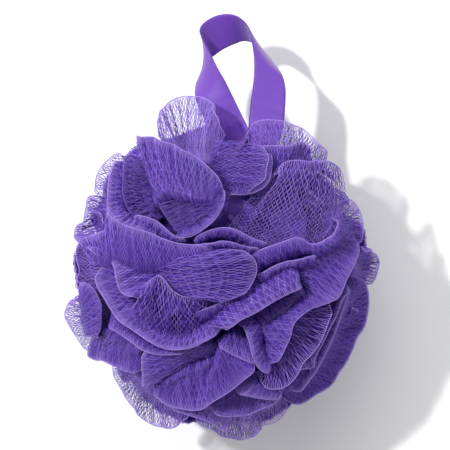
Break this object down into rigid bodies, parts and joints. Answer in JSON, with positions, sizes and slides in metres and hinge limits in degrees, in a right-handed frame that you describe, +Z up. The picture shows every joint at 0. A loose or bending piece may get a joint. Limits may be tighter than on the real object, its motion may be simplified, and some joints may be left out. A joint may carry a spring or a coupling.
{
  "type": "mesh bath pouf",
  "caption": "Round bath pouf of gathered knitted net, tied at its middle, with a satin ribbon loop to hang it by.",
  "frame": {"origin": "centre of the small flat spot under the ball, on which it lies", "axes": "+Z up, away from the surface it lies on; +Y towards the ribbon loop; +X to the right of the ball seen from above with the loop at the top"},
  "size_m": [0.1329, 0.1799, 0.1138],
  "materials": {
    "net": "knitted polyethylene net, soft shine",
    "satin": "satin ribbon",
    "cord": "twisted cord"
  },
  "bodies": {
    "root": {"mesh_netting": "net", "ribbon_loop": "satin", "tie_cord": "cord"}
  },
  "joints": []
}
